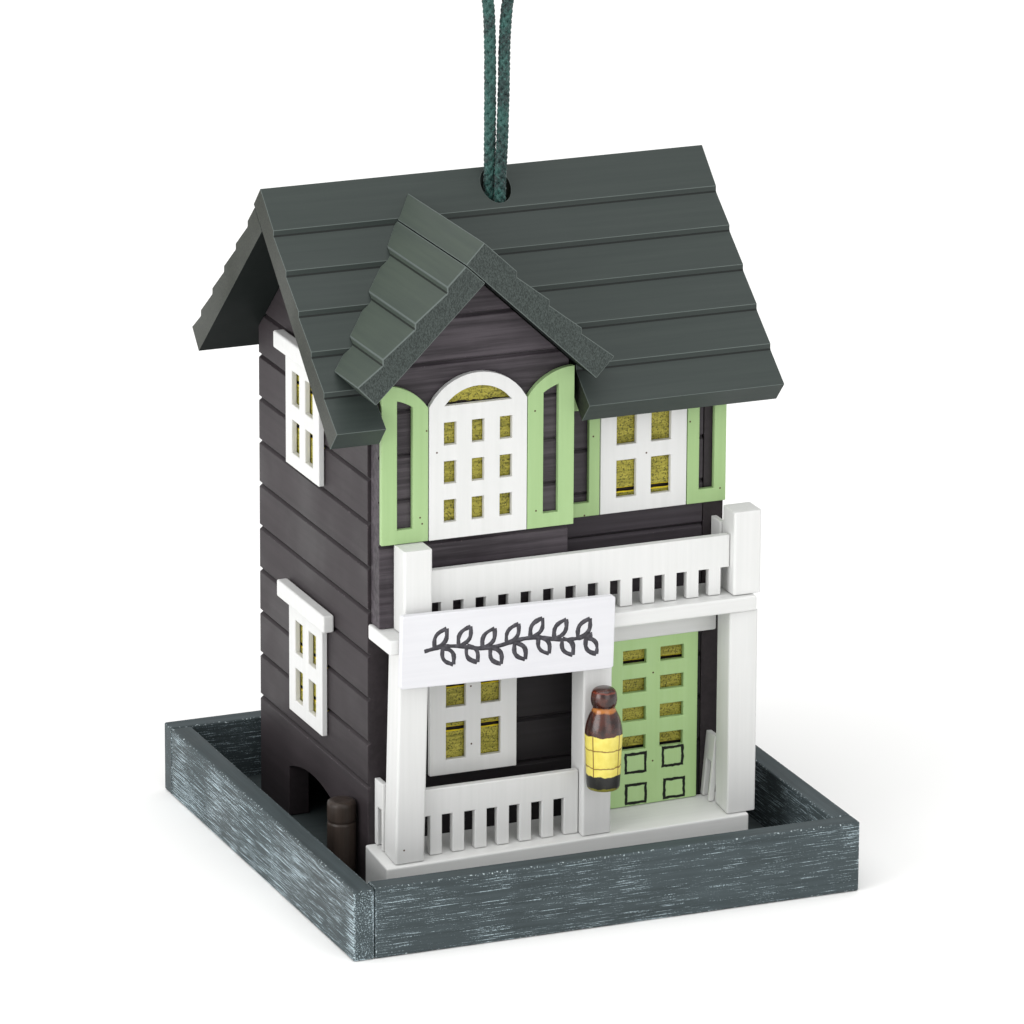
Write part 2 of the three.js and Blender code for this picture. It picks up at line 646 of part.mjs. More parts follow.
function makeSideWindows(side, wall) {
  const word = side < 0 ? "left" : "right";
  const face = wall + side * GAP;
  SIDE_WINDOW_SILLS.forEach((sill, storey) => {
    const name = `${word}_${["lower", "upper"][storey]}`;
    const middle = houseMiddle + SIDE_WINDOW_BACK[storey];
    const frame = facingSide(windowShape(SIDE_WINDOW_HEIGHT, SIDE_PANE_HEIGHT), face, face + side * PLY);
    piece(`window_${name}`, frame, whitePaint).position.set(0, middle, wallFoot + sill);
    const strip = rectangle(-LINTEL_WIDTH / 2, 0, LINTEL_WIDTH, LINTEL_HEIGHT);
    const lintel = facingSide(strip, face, face + side * LINTEL_THICKNESS);
    const lintelFoot = wallFoot + sill + SIDE_WINDOW_HEIGHT + GAP;
    piece(`lintel_${name}`, lintel, whitePaint).position.set(0, middle, lintelFoot);
  });
}

// The bay's window: three by three panes under a round top with a half-moon pane.
function archedWindowShape() {
  const half = ARCHED_WIDTH / 2;
  const radius = archRadius(half, ARCH_RISE);
  const centre = ARCHED_SPRING + ARCH_RISE - radius;
  const shape = outline([[-half, 0], [half, 0], ...arc(half, -half, radius, centre, 16)]);
  const moonRadius = radius - ARCHED_BORDER;
  const moonHalf = Math.sqrt(moonRadius ** 2 - (ARCHED_SPRING - centre) ** 2);
  shape.holes.push(outline(arc(moonHalf, -moonHalf, moonRadius, centre)));
  const firstRow = (ARCHED_SPRING - 2 * ARCHED_PANE_PITCH_Z - ARCHED_PANE_HEIGHT) / 2;
  for (let column = -1; column <= 1; column += 1)
    for (let row = 0; row < 3; row += 1) {
      const left = column * ARCHED_PANE_PITCH_X - ARCHED_PANE_WIDTH / 2;
      const bottom = firstRow + row * ARCHED_PANE_PITCH_Z;
      shape.holes.push(rectangle(left, bottom, ARCHED_PANE_WIDTH, ARCHED_PANE_HEIGHT));
    }
  return shape;
}

// A bay shutter is half of the arch: highest at its outer edge. Drawn with the inner edge at 0.
function archedShutterShape(side) {
  const width = BAY_SHUTTER_WIDTH;
  const radius = archRadius(ARCHED_WIDTH / 2, ARCH_RISE);
  const centre = ARCHED_SPRING - Math.sqrt(radius ** 2 - width ** 2);
  const slotOuter = (SHUTTER_SLOT - width) / 2;
  const slotInner = slotOuter - SHUTTER_SLOT;
  const slotTop = centre - SHUTTER_RAIL;
  const place = ([x, z]) => [side * (width + x), z];
  const shape = outline([[0, 0], [-width, 0], ...arc(-width, 0, radius, centre)].map(place));
  const slot = [
    [slotOuter, SHUTTER_RAIL],
    [slotInner, SHUTTER_RAIL],
    ...arc(slotInner, slotOuter, radius, slotTop),
  ];
  shape.holes.push(outline(slot.map(place)));
  return shape;
}

function shutterShape(width) {
  const shape = rectangle(-width / 2, 0, width, WINDOW_HEIGHT);
  const slotHeight = WINDOW_HEIGHT - 2 * SHUTTER_RAIL;
  shape.holes.push(rectangle(-SHUTTER_SLOT / 2, SHUTTER_RAIL, SHUTTER_SLOT, slotHeight));
  return shape;
}

function doorShape() {
  const shape = rectangle(-DOOR_WIDTH / 2, 0, DOOR_WIDTH, DOOR_HEIGHT);
  const [paneWidth, paneHeight] = DOOR_PANE;
  for (const side of [-1, 1])
    for (let row = 0; row < DOOR_PANE_ROWS; row += 1) {
      const left = (side * DOOR_PANE_PITCH[0]) / 2 - paneWidth / 2;
      const bottom = DOOR_HEIGHT - DOOR_TOP_RAIL - paneHeight - row * DOOR_PANE_PITCH[1];
      shape.holes.push(rectangle(left, bottom, paneWidth, paneHeight));
    }
  return shape;
}

function makeFrontJoinery() {
  const onBay = bayFront - GAP;
  const onWall = houseFront - GAP;
  const fit = (name, shape, back, x, z, material, thickness = PLY) =>
    piece(name, facingFront(shape, 0, thickness), material).position.set(x, back, z);

  const archedX = bayMiddle + ARCHED_SHIFT;
  fit("window_arched", archedWindowShape(), onBay, archedX, upperSill, whitePaint);
  const shutterAt = ARCHED_WIDTH / 2 + GAP;
  fit("shutter_bay_left", archedShutterShape(-1), onBay, archedX - shutterAt, upperSill, paleGreenPaint);
  fit("shutter_bay_right", archedShutterShape(1), onBay, archedX + shutterAt, upperSill, paleGreenPaint);

  const upperX = houseRight - UPPER_WINDOW_INSET;
  const upperZ = upperSill - UPPER_WINDOW_DROP;
  const beside = (width) => WINDOW_WIDTH / 2 + GAP + width / 2;
  const upper = windowShape(WINDOW_HEIGHT, PANE_HEIGHT);
  fit("window_upper_right", upper, onWall, upperX, upperZ, whitePaint);
  const leftWidth = UPPER_LEFT_SHUTTER_WIDTH;
  const leftX = upperX - beside(leftWidth);
  const rightWidth = UPPER_RIGHT_SHUTTER_WIDTH;
  const rightX = upperX + beside(rightWidth);
  fit("shutter_upper_left", shutterShape(leftWidth), onWall, leftX, upperZ, greenPaint);
  fit("shutter_upper_right", shutterShape(rightWidth), onWall, rightX, upperZ, greenPaint);

  const porchSill = porchTop + PORCH_WINDOW_SILL;
  const porchWindow = windowShape(WINDOW_HEIGHT, PANE_HEIGHT);
  fit("window_porch", porchWindow, onWall, PORCH_WINDOW_X, porchSill, whitePaint);

  const doorX = houseRight - DOOR_INSET;
  standing("door", facingFront(doorShape(), onWall, PLY).translate(doorX, 0, porchTop), doorPaint);
  const strip = rectangle(-LINTEL_WIDTH / 2, 0, LINTEL_WIDTH, LINTEL_HEIGHT);
  const headerZ = porchTop + DOOR_HEIGHT + GAP;
  fit("door_header", strip, onWall, doorX, headerZ, whitePaint, LINTEL_THICKNESS);
}

// ---- Sign, lantern and barrel ---------------------------------------------------------------

function makeSign() {
  const board = extrude(chamferedRectangle(SIGN_WIDTH, SIGN_HEIGHT, 0.8), SIGN_THICKNESS);
  const sign = piece("sign_board", board, whitePaint);
  const left = houseLeft + SIGN_INSET;
  sign.position.set(left + SIGN_WIDTH / 2, porchFront - GAP, balconyTop - SIGN_DROP);
  sign.rotation.set(Math.PI / 2, 0, 0);
  sign.rotateZ(radians(SIGN_TILT));
}

function turned(profile, segments) {
  const points = profile.map(([r, z]) => new THREE.Vector2(r, z));
  return new THREE.LatheGeometry(points, segments).rotateX(Math.PI / 2);
}

function makeLantern() {
  const h = LANTERN_HEIGHT;
  const r = LANTERN_RADIUS;
  const profile = [
    [0, 0],
    [0.87 * r, 0],
    [0.89 * r, 0.02 * h],
    [0.96 * r, 0.38 * h],
    [r, 0.52 * h],
    [0.97 * r, 0.6 * h],
    [0.88 * r, 0.67 * h],
    [0.72 * r, 0.74 * h],
    [0.61 * r, 0.78 * h],
    [0.6 * r, 0.81 * h],
    [0.66 * r, 0.84 * h],
    [0.69 * r, 0.9 * h],
    [0.65 * r, 0.95 * h],
    [0.5 * r, 0.985 * h],
    [0, h],
  ];
  const lantern = piece("lantern", turned(profile, 24), lanternPaint);
  lantern.position.set(PORCH_POST_MIDDLE_X + LANTERN_SHIFT, postFront - GAP - r, porchTop + LANTERN_FOOT);
}

function makeBarrel() {
  const h = BARREL_HEIGHT;
  const r = BARREL_RADIUS;
  const grooveZ = h - 8;
  const profile = [
    [0, 0],
    [r - 0.3, 0],
    [r, 0.5],
    [r, grooveZ - 0.6],
    [r - 0.5, grooveZ],
    [r, grooveZ + 0.6],
    [r, h - 1.2],
    [r - 1.1, h],
    [0, h],
  ];
  const barrel = piece("barrel", turned(profile, 24), darkWood);
  barrel.position.set(houseLeft - GAP - r, houseFront + BARREL_BEHIND_FRONT, wallFoot);
}

// ---- Rope: both ends pass down through a bar between the gables and are knotted below it -----

function makeRope() {
  const holeY = houseMiddle - ROPE_HOLE_BEFORE_RIDGE;
  const barZ = ridgeZ - ROPE_BAR_BELOW_RIDGE;
  const [barDepth, barHeight] = ROPE_BAR;
  const side = HOUSE_WIDTH / 2 - WALL_THICKNESS - GAP;
  const barFoot = barZ - barHeight / 2;
  const knotX = 7; // each strand's place in the bar, either side of the hole's axis
  const bar = box([-side, holeY - barDepth / 2, barFoot], [side, holeY + barDepth / 2, barFoot + barHeight]);
  const drill = (x) =>
    new THREE.CylinderGeometry(ROPE_RADIUS + 0.4, ROPE_RADIUS + 0.4, barHeight + 2, 24)
      .rotateX(Math.PI / 2)
      .translate(x, holeY, barZ);
  const [leftX, rightX] = [ROPE_HOLE_X - knotX, ROPE_HOLE_X + knotX];
  piece("rope_bar", cut(bar, [drill(leftX), drill(rightX)]), bareWood);

  // Places along the rope as steps right, back and up from the hole's axis at the bar's foot:
  // up the left strand, round the loop that the feeder hangs by, and down the right strand.
  const route = [
    [-7, 0, 0],
    [-7, 0, 12],
    [-4.6, 1.4, 19],
    [-1.8, 2.2, 29],
    [-1.5, 2.2, 45],
    [-1.7, 1.5, 62],
    [-2, 0.8, 82],
    [-2.4, 0.3, 102],
    [-3.4, 0, 116],
    [-6.4, 0, 130],
    [-9.4, 0, 143],
    [-8.2, 0, 152],
    [-2.5, 0, 158.2],
    [4.5, 0, 158.4],
    [10.4, 0, 152],
    [11.6, 0, 143],
    [8.2, 0, 130],
    [4.7, 0, 116],
    [3.3, -0.3, 102],
    [2.7, -0.9, 82],
    [1.9, -1.6, 62],
    [0.9, -2.2, 45],
    [1.5, -2, 28],
    [4.6, -1.2, 18],
    [7, 0, 12],
    [7, 0, 0],
  ].map(([x, y, z]) => new THREE.Vector3(ROPE_HOLE_X + x, holeY + y, barFoot + z));
  const curve = new THREE.CatmullRomCurve3(route, false, "centripetal");
  const steps = Math.ceil(curve.getLength() / ROPE_STEP);
  const section = new THREE.Shape();
  section.absarc(0, 0, ROPE_RADIUS, 0, 2 * Math.PI, false);
  const tube = new THREE.ExtrudeGeometry(section, { steps, curveSegments: 10, extrudePath: curve });
  piece("hanging_rope", tube, ropeFibre);

  for (const [name, x] of Object.entries({ rope_knot_left: leftX, rope_knot_right: rightX })) {
    const knot = new THREE.SphereGeometry(KNOT_RADIUS, 16, 10).scale(1, 1, 0.8);
    piece(name, knot, ropeFibre).position.set(x, holeY, barFoot - GAP - 0.8 * KNOT_RADIUS);
  }
}

makeTray();
makeWalls();
makeBay();
makeDormer(makeMainRoof());
makePorch();
makePorchRailings();
makeBalconyRailings();
makeFrontJoinery();
makeSideWindows(-1, houseLeft);
makeSideWindows(1, houseRight);
makeSign();
makeLantern();
makeBarrel();
makeRope();

export default feeder;
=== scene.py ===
import json
from math import cos, pi, radians, sin

import bmesh
import bpy
from mathutils import Matrix, Vector, geometry, noise


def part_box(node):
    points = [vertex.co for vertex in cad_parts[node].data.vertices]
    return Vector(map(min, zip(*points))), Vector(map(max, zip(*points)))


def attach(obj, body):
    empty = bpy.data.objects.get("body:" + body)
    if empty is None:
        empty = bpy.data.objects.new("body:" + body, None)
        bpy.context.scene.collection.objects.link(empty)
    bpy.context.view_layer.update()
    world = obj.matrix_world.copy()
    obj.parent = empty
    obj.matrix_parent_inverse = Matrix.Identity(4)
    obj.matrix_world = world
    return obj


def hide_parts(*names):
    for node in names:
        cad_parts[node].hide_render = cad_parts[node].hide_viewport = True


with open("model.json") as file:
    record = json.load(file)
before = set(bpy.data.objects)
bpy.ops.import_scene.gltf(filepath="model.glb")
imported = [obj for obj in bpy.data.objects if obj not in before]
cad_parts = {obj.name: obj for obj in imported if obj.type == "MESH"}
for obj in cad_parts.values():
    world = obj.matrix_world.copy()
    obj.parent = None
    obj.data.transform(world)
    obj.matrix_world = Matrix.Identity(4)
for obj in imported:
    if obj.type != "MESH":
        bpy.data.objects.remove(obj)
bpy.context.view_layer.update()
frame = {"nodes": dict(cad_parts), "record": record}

# ---- Camera, floor and light ---------------------------------------------------------------
# A long lens a little to the left of the house and above it. The feeder stands on a plain pale
# floor under a soft white sky, with a wide light overhead and broad lamps in front and on the left.

azimuth, elevation, roll = radians(-22.5), radians(17.4), radians(0.3)
distance, aim_height, aim_right = 2.7207, 0.1288, 0.0019
back = Vector((sin(azimuth) * cos(elevation), -cos(azimuth) * cos(elevation), sin(elevation)))
level = Vector((cos(azimuth), sin(azimuth), 0))
upright = back.cross(level)
aim = level * aim_right + Vector((0, 0, aim_height))
turn = Matrix((
    level * cos(roll) + upright * sin(roll),
    upright * cos(roll) - level * sin(roll),
    back,
)).transposed().to_4x4()
camera = bpy.data.objects.new("camera", bpy.data.cameras.new("camera"))
camera.data.lens = 257.8
camera.data.sensor_width = 36
camera.data.clip_end = 50
camera.matrix_world = Matrix.Translation(aim + back * distance) @ turn
bpy.context.scene.collection.objects.link(camera)
bpy.context.scene.camera = camera
bpy.context.scene.view_settings.view_transform = "Standard"

house_middle = Vector((0, 0, 0.12))


def lamp(name, around, height, power):
    """A broad square lamp that looks at the middle of the house, at an angle round it from the
    front and an angle above it."""
    reach = 2.2
    light = bpy.data.lights.new(name, "AREA")
    light.size = 1.5
    light.energy = power
    towards = Vector((sin(radians(around)) * cos(radians(height)),
                      -cos(radians(around)) * cos(radians(height)), sin(radians(height))))
    holder = bpy.data.objects.new(name, light)
    holder.matrix_world = Matrix.Translation(house_middle + towards * reach) @ (
        towards.to_track_quat("Z", "Y").to_matrix().to_4x4())
    bpy.context.scene.collection.objects.link(holder)


lamp("front_lamp", 8, 16, 9.4)
lamp("left_lamp", -74, 14, 27)

overhead = bpy.data.lights.new("overhead", "SUN")
overhead.energy = 1.4
overhead.angle = radians(70)
high_sun = bpy.data.objects.new("overhead", overhead)
high_sun.rotation_euler = (radians(10), radians(-8), 0)
bpy.context.scene.collection.objects.link(high_sun)

sky = bpy.data.worlds.new("sky")
sky.use_nodes = True
sky.node_tree.nodes["Background"].inputs["Color"].default_value = (1, 1, 1, 1)
sky.node_tree.nodes["Background"].inputs["Strength"].default_value = 0.73
bpy.context.scene.world = sky

floor_mesh = bmesh.new()
bmesh.ops.create_grid(floor_mesh, x_segments=1, y_segments=1, size=9)
bmesh.ops.translate(floor_mesh, verts=floor_mesh.verts, vec=(0, 4, -0.0002))
ground = bpy.data.objects.new("pale_floor", bpy.data.meshes.new("pale_floor"))
floor_mesh.to_mesh(ground.data)
floor_mesh.free()
pale = bpy.data.materials.new("pale_floor")
pale.use_nodes = True
pale.node_tree.nodes["Principled BSDF"].inputs["Base Color"].default_value = (0.93, 0.93, 0.92, 1)
pale.node_tree.nodes["Principled BSDF"].inputs["Roughness"].default_value = 0.8
ground.data.materials.append(pale)
bpy.context.scene.collection.objects.link(ground)


# ---- Hanging rope --------------------------------------------------------------------------
# Dark green braided polyester cord. Both ends go down through a wooden bar between the gables
# and are knotted below it; the doubled cord leaves through a hole in the roof and ends in the
# loop that goes over a hook.

rope_thickness = 0.0048
bar_low, bar_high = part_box("rope_bar")
knots = [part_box(name) for name in ("rope_knot_left", "rope_knot_right")]
rope_middle = Vector((
    sum(low.x + high.x for low, high in knots) / 4,
    (bar_low.y + bar_high.y) / 2,
    bar_low.z,
))
rope_turns = [
    (-7, 0, 0), (-7, 0, 12), (-4.6, 1.4, 19), (-1.8, 2.2, 29), (-1.5, 2.2, 45), (-1.7, 1.5, 62),
    (-2, 0.8, 82), (-2.4, 0.3, 102), (-3.4, 0, 116), (-6.4, 0, 130), (-9.4, 0, 143), (-8.2, 0, 152),
    (-2.5, 0, 158.2), (4.5, 0, 158.4), (10.4, 0, 152), (11.6, 0, 143), (8.2, 0, 130), (4.7, 0, 116),
    (3.3, -0.3, 102), (2.7, -0.9, 82), (1.9, -1.6, 62), (0.9, -2.2, 45), (1.5, -2, 28),
    (4.6, -1.2, 18), (7, 0, 12), (7, 0, 0),
]
rope_turns = [rope_middle + Vector(point) / 1000 for point in rope_turns]


def smooth_way(points, step):
    """An even walk along a smooth curve through the points."""
    ends = [points[0] * 2 - points[1]] + points + [points[-1] * 2 - points[-2]]
    fine = []
    for before, here, there, after in zip(ends, ends[1:], ends[2:], ends[3:]):
        span = (there - here).length
        start_pull = (there - before).normalized() * span / 3
        end_pull = (after - here).normalized() * span / 3
        fine += geometry.interpolate_bezier(here, here + start_pull, there - end_pull, there, 24)[:-1]
    fine.append(points[-1])
    way, left = [fine[0]], step
    for here, there in zip(fine, fine[1:]):
        length = (there - here).length
        while length > 1e-9 and left <= length:
            here = here + (there - here) * (left / length)
            way.append(here)
            length, left = (there - here).length, step
        left -= length
    return way


def crosswise(way):
    """Two directions square to the way at each of its points, kept from twisting."""
    side, pairs = Vector((0, 1, 0)), []
    for i, here in enumerate(way):
        ahead = (way[min(i + 1, len(way) - 1)] - way[max(i - 1, 0)]).normalized()
        side = (side - ahead * side.dot(ahead)).normalized()
        pairs.append((side, ahead.cross(side)))
    return pairs


def strand_curve(name, lines, thickness):
    """Round strands through lists of (point, relative thickness), made into one mesh."""
    curve = bpy.data.curves.new(name, "CURVE")
    curve.dimensions = "3D"
    curve.bevel_depth = thickness / 2
    curve.bevel_resolution = 1
    curve.use_fill_caps = True
    for line in lines:
        spline = curve.splines.new("POLY")
        spline.points.add(len(line) - 1)
        for point, (place, girth) in zip(spline.points, line):
            point.co = (*place, 1)
            point.radius = girth
    holder = bpy.data.objects.new(name, curve)
    bpy.context.scene.collection.objects.link(holder)
    mesh = bpy.data.meshes.new_from_object(holder.evaluated_get(bpy.context.evaluated_depsgraph_get()))
    bpy.data.objects.remove(holder)
    mesh.shade_smooth()
    piece = bpy.data.objects.new(name, mesh)
    bpy.context.scene.collection.objects.link(piece)
    return piece


def braid(way, thickness, strands=4, lay=0.0156):
    """Strands wound both ways round a core, each passing over one and under the next."""
    ring, wave, strand = thickness * 0.27, thickness * 0.06, thickness * 0.36
    step = (way[1] - way[0]).length
    pairs = crosswise(way)
    lines = [[(place, 0.5 * thickness / strand) for place in way[::4]]]
    for hand in (1, -1):
        for number in range(strands):
            line = []
            for i, (place, (side, over)) in enumerate(zip(way, pairs)):
                angle = 2 * pi * (number / strands + hand * i * step / lay)
                out = ring + hand * wave * cos(2 * pi * strands * i * step / lay)
                line.append((place + (side * cos(angle) + over * sin(angle)) * out, 1))
            lines.append(line)
    return lines, strand


def put(tree, kind, inputs=None, **settings):
    """Adds a shader node, sets or links its inputs, and gives its first output."""
    made = tree.nodes.new("ShaderNode" + kind)
    for key, value in settings.items():
        setattr(made, key, value)
    for key, value in (inputs or {}).items():
        if isinstance(value, bpy.types.NodeSocket):
            tree.links.new(value, made.inputs[key])
        else:
            made.inputs[key].default_value = value
    return made.outputs[0]


def paint(code):
    """A colour from its usual six-digit code."""
    parts = [int(code[i:i + 2], 16) / 255 for i in (1, 3, 5)]
    return (*[((part + 0.055) / 1.055) ** 2.4 if part > 0.04 else part / 12.92 for part in parts], 1)


def blend(tree, share, first, second):
    """A colour between two, by a share from 0 to 1."""
    made = tree.nodes.new("ShaderNodeMix")
    made.data_type = "RGBA"
    for index, value in ((0, share), (6, first), (7, second)):
        if isinstance(value, bpy.types.NodeSocket):
            tree.links.new(value, made.inputs[index])
        else:
            made.inputs[index].default_value = value
    return made.outputs[2]


def spread(tree, value, low, high, start=0.0, end=1.0):
    """Stretches a value so that low and high become start and end, smoothly, with no overshoot."""
    return put(tree, "MapRange", {0: value, 1: low, 2: high, 3: start, 4: end},
               interpolation_type="SMOOTHSTEP")


def new_finish(name):
    """A material with its tree, its shader and the place on the object."""
    material = bpy.data.materials.new(name)
    material.use_nodes = True
    tree = material.node_tree
    return material, tree, tree.nodes["Principled BSDF"], put(tree, "TexCoord").node.outputs["Object"]


def times(tree, first, second):
    """The product of two values."""
    return put(tree, "Math", {0: first, 1: second}, operation="MULTIPLY")


def plus(tree, first, second):
    """The sum of two values."""
    return put(tree, "Math", {0: first, 1: second}, operation="ADD")


def rough(tree, surface, height, strength, distance):
    """Fine relief on a shader from a height."""
    bump = put(tree, "Bump", {"Strength": strength, "Distance": distance, "Height": height})
    tree.links.new(bump, surface.inputs["Normal"])


cord_fibre, tree, surface, place = new_finish("braided_cord")
hairs = put(tree, "TexNoise", {"Vector": place, "Scale": 1400.0, "Detail": 4.0, "Roughness": 0.7})
shades = put(tree, "TexNoise", {"Vector": place, "Scale": 160.0, "Detail": 2.0})
cord_colour = blend(tree, spread(tree, shades, 0.35, 0.65), paint("#0a2222"), paint("#1d4a44"))
cord_colour = blend(tree, spread(tree, hairs, 0.45, 0.72, 0.0, 0.6), cord_colour, paint("#4a7c74"))
tree.links.new(cord_colour, surface.inputs["Base Color"])
surface.inputs["Roughness"].default_value = 0.62
surface.inputs["Sheen Weight"].default_value = 0.25
surface.inputs["Sheen Roughness"].default_value = 0.4
rough(tree, surface, hairs, 0.6, 0.0002)

rope_way = smooth_way(rope_turns, 0.0007)
rope_lines, strand_thickness = braid(rope_way, rope_thickness)
rope = strand_curve("green_rope", rope_lines, strand_thickness)
rope.data.materials.append(cord_fibre)
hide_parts("hanging_rope")
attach(rope, "house")

# Each end is tied below the bar in one overhand knot, pulled up hard against the wood.
for node, (low, high) in zip(("rope_knot_left", "rope_knot_right"), knots):
    middle, half = (low + high) / 2, (high - low) / 2
    knot_line = []
    girth = rope_thickness * 0.42
    reach = half - Vector((girth, girth, girth))
    for i in range(65):
        t = 2 * pi * i / 64
        swing = Vector(((sin(t) + 2 * sin(2 * t)) / 3, (cos(t) - 2 * cos(2 * t)) / 3, -sin(3 * t)))
        knot_line.append((middle + Vector(a * b for a, b in zip(swing, reach)), 1))
    knot = strand_curve(node.replace("rope_knot", "rope_end_knot"), [knot_line], girth * 2)
    knot.data.materials.append(cord_fibre)
    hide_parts(node)
    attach(knot, "house")


# ---- Seed tray -----------------------------------------------------------------------------
# Four boards butted round a thin floor and nailed. They are painted slate grey, and the outside
# is brushed over with a nearly dry pale blue so that it looks weathered.

bodies = {node: body for body, nodes in frame["record"]["behaviour"]["bodies"].items()
          for node in nodes}


def sanded(node, finish, arris=0.0004, rounds=2, grain="z", shaded_crease=0.0):
    """The node's own shape with its arrises eased, as sanding leaves them, and its inner corners
    filled a little. Faces get marks for the materials: rubbed arrises, inner corners to darken as
    painted shade, sawn ends across the grain, and undersides for painted shade."""
    shape = bmesh.new()
    shape.from_mesh(frame["nodes"][node].data)
    bmesh.ops.remove_doubles(shape, verts=shape.verts, dist=1e-6)
    bmesh.ops.dissolve_limit(shape, angle_limit=radians(0.5), verts=shape.verts, edges=shape.edges)
    marks = [shape.faces.layers.float.new(mark) for mark in ("rubbed", "dark", "sawn", "under")]
    rubbed, dark, sawn, under = marks
    # Inner corners get the dark mark: painted shade, drawn near black in wood_finish.
    if shaded_crease:
        corners = [edge for edge in shape.edges if edge.calc_face_angle_signed(0) < -radians(18)]
        filled = bmesh.ops.bevel(shape, geom=corners, offset=shaded_crease, affect="EDGES", segments=1,
                                 profile=0.5, material=-1, clamp_overlap=True)
        for face in filled["faces"]:
            face[dark] = 1.0
    arrises = [edge for edge in shape.edges if edge.calc_face_angle_signed(0) > radians(26)]
    made = bmesh.ops.bevel(shape, geom=arrises, offset=arris, affect="EDGES", segments=rounds,
                           profile=0.5, material=-1, clamp_overlap=True)
    shape.normal_update()
    eased = set(made["faces"])
    for face in shape.faces:
        face[rubbed] = float(face in eased)
        face[sawn] = float(face not in eased and abs(face.normal["xyz".index(grain)]) > 0.95)
        # Undersides are marked for a painted shade colour.
        face[under] = float(face.normal.z < -0.7)
    mesh = bpy.data.meshes.new(node + "_wood")
    shape.to_mesh(mesh)
    shape.free()
    for spare in [a.name for a in mesh.attributes if a.name in ("custom_normal", "UVMap")]:
        mesh.attributes.remove(mesh.attributes[spare])
    mesh.shade_flat()
    mesh.materials.append(finish)
    piece = bpy.data.objects.new(node + "_wood", mesh)
    bpy.context.scene.collection.objects.link(piece)
    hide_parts(node)
    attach(piece, bodies[node])


def wood_finish(name, dark, light, along, gloss=0.5, relief=0.00006, worn=None, wear=0.5,
                even=0.3, sawn=None, under=None):
    """Painted or stained softwood. The fibres run along x, y or z and the colour drifts with them,
    less where the paint is even. The worn colour shows in patches on rubbed arrises, inner corners
    are drawn near black as painted shade, sawn ends can have a colour of their own, and undersides
    can get a painted shade colour."""
    material, tree, surface, place = new_finish(name)
    coarse, fine = 16, 420
    stretch = {"x": (coarse, fine, fine), "y": (fine, coarse, fine), "z": (fine, fine, coarse)}[along]
    drawn = put(tree, "VectorMath", {0: place, 1: stretch}, operation="MULTIPLY")
    fibres = put(tree, "TexNoise", {"Vector": drawn, "Scale": 1.0, "Detail": 9.0,
                                    "Roughness": 0.6, "Distortion": 0.25})
    clouds = put(tree, "TexNoise", {"Vector": place, "Scale": 26.0, "Detail": 4.0})
    pores = put(tree, "TexNoise", {"Vector": place, "Scale": 1500.0, "Detail": 3.0})
    tone = plus(tree, times(tree, fibres, 0.6), times(tree, clouds, 0.4))
    colour = blend(tree, spread(tree, tone, 0.5 - even, 0.5 + even), paint(dark), paint(light))
    if worn:
        edge = put(tree, "Attribute", attribute_name="rubbed")
        patches = put(tree, "TexNoise", {"Vector": place, "Scale": 1200.0, "Detail": 5.0})
        shown = times(tree, edge, spread(tree, patches, 0.66 - 0.3 * wear, 0.78 - 0.3 * wear))
        colour = blend(tree, shown, colour, paint(worn))
    # Painted shade: inner corners and groove bottoms are drawn near black.
    corner = put(tree, "Attribute", attribute_name="dark")
    colour = blend(tree, times(tree, corner, 0.75), colour, paint("#0c0c0c"))
    if sawn:
        hatch = put(tree, "VectorMath", {0: place, 1: (3800, 3800, 1300)}, operation="MULTIPLY")
        hatch = put(tree, "TexNoise", {"Vector": hatch, "Scale": 1.0, "Detail": 4.0, "Roughness": 0.7})
        ends = blend(tree, spread(tree, hatch, 0.4, 0.62), paint(sawn[0]), paint(sawn[1]))
        colour = blend(tree, put(tree, "Attribute", attribute_name="sawn"), colour, ends)
    # Painted shade: undersides get a dark colour of their own and no specular shine.
    if under:
        underside_shade = put(tree, "Attribute", attribute_name="under")
        colour = blend(tree, underside_shade, colour, paint(under))
        tree.links.new(spread(tree, underside_shade, 0.0, 1.0, 0.22, 0.02), surface.inputs["Specular IOR Level"])
    tree.links.new(colour, surface.inputs["Base Color"])
    tree.links.new(spread(tree, clouds, 0.3, 0.7, gloss - 0.08, gloss + 0.1), surface.inputs["Roughness"])
    surface.inputs["Specular IOR Level"].default_value = 0.22
    height = plus(tree, fibres, times(tree, pores, 0.25))
    rough(tree, surface, height, 0.8, relief)
    return material, tree, surface, colour, place


def brush_dry(tree, surface, colour, place, along, code, low, high, amount):
    """Fine broken streaks of pale paint along a board: none on its top, fewer on its sawn ends,
    and on a side board more near the front."""
    long, cross = 55, 3000
    stretch = (long, cross, cross) if along == "x" else (cross, long, cross)
    drawn = put(tree, "VectorMath", {0: place, 1: stretch}, operation="MULTIPLY")
    streaks = put(tree, "TexNoise", {"Vector": drawn, "Scale": 1.0, "Detail": 4.0, "Roughness": 0.7})
    broken = put(tree, "TexNoise", {"Vector": place, "Scale": 1600.0, "Detail": 3.0, "Roughness": 0.7})
    swathes = put(tree, "TexNoise", {"Vector": place, "Scale": 45.0, "Detail": 4.0})
    parts = put(tree, "SeparateXYZ", {0: place}).node.outputs
    top = spread(tree, parts["Z"], high.z - 0.0012, high.z - 0.0004, 0.0, -0.3)
    front = spread(tree, parts["Y"], low.y + 0.002, low.y + 0.009, 0.03 if along == "y" else 0.0, 0.0)
    butt = times(tree, put(tree, "Attribute", attribute_name="sawn"), -0.05)
    heap = plus(tree, plus(tree, times(tree, streaks, 0.75), times(tree, broken, 0.25)),
                plus(tree, times(tree, swathes, 0.15), plus(tree, plus(tree, top, front), butt)))
    share = spread(tree, heap, 0.62 - amount, 0.68 - amount, 0.0, 0.9)
    tree.links.new(blend(tree, share, colour, paint(code)), surface.inputs["Base Color"])


